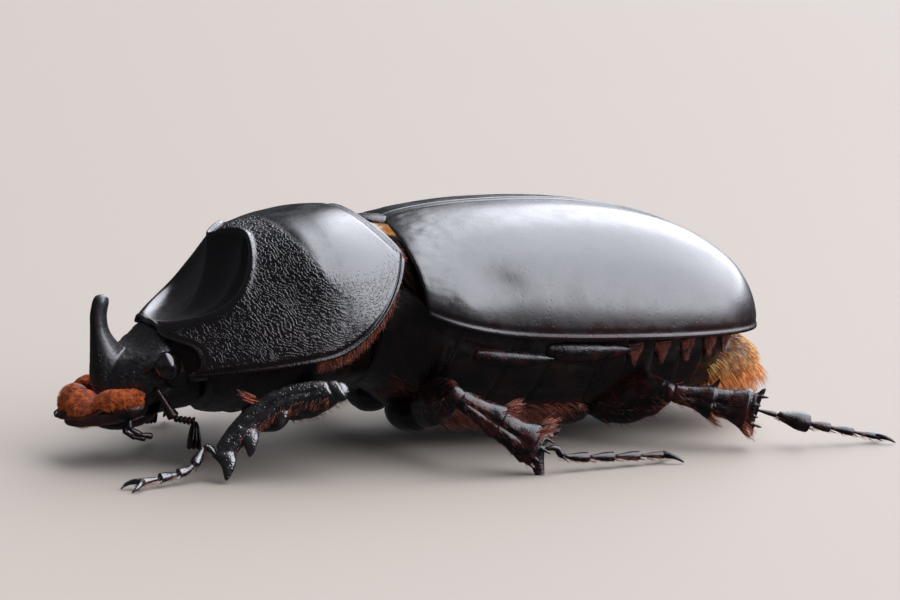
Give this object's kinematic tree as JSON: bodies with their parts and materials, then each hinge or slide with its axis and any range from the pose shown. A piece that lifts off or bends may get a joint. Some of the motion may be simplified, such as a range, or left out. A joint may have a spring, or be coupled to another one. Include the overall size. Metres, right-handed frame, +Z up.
{
  "type": "rhinoceros beetle",
  "caption": "Life-size rhinoceros beetle standing on level ground, glossy black, with one upright head horn, a hollowed pronotum and closed wing cases.",
  "frame": {"origin": "on the ground under the middle of the beetle's overall box", "axes": "+X towards the beetle's left, +Y towards its rear (it faces -Y), +Z up"},
  "size_m": [0.0278, 0.0469, 0.0141],
  "materials": {
    "shell": "glossy near-black chitin with fine punctures",
    "underside": "glossy dark red-brown chitin",
    "mouth": "satin dark brown chitin under bristles",
    "setae": "stiff orange-brown bristles",
    "membrane": "soft pale joint skin",
    "eye": "glossy black, finely faceted"
  },
  "bodies": {
    "root": {"pronotum": "shell", "prosternum": "underside", "scutellum": "shell", "elytron_left": "shell", "elytron_right": "shell", "thorax": "underside", "abdomen": "underside", "pygidium": "underside", "head": "shell", "horn": "shell", "labium": "underside", "eye_left": "eye", "antenna_left": "underside", "mandible_left": "mouth", "maxilla_left": "setae", "eye_right": "eye", "antenna_right": "underside", "mandible_right": "mouth", "maxilla_right": "setae", "front_coxa_left": "underside", "front_femur_left": "underside", "front_tibia_left": "shell", "front_tarsus_left": "shell", "front_coxa_right": "underside", "front_femur_right": "underside", "front_tibia_right": "shell", "front_tarsus_right": "shell", "middle_coxa_left": "underside", "middle_femur_left": "underside", "middle_tibia_left": "shell", "middle_tarsus_left": "shell", "middle_coxa_right": "underside", "middle_femur_right": "underside", "middle_tibia_right": "shell", "middle_tarsus_right": "shell", "hind_coxa_left": "underside", "hind_femur_left": "underside", "hind_tibia_left": "shell", "hind_tarsus_left": "shell", "hind_coxa_right": "underside", "hind_femur_right": "underside", "hind_tibia_right": "shell", "hind_tarsus_right": "shell"}
  },
  "joints": []
}
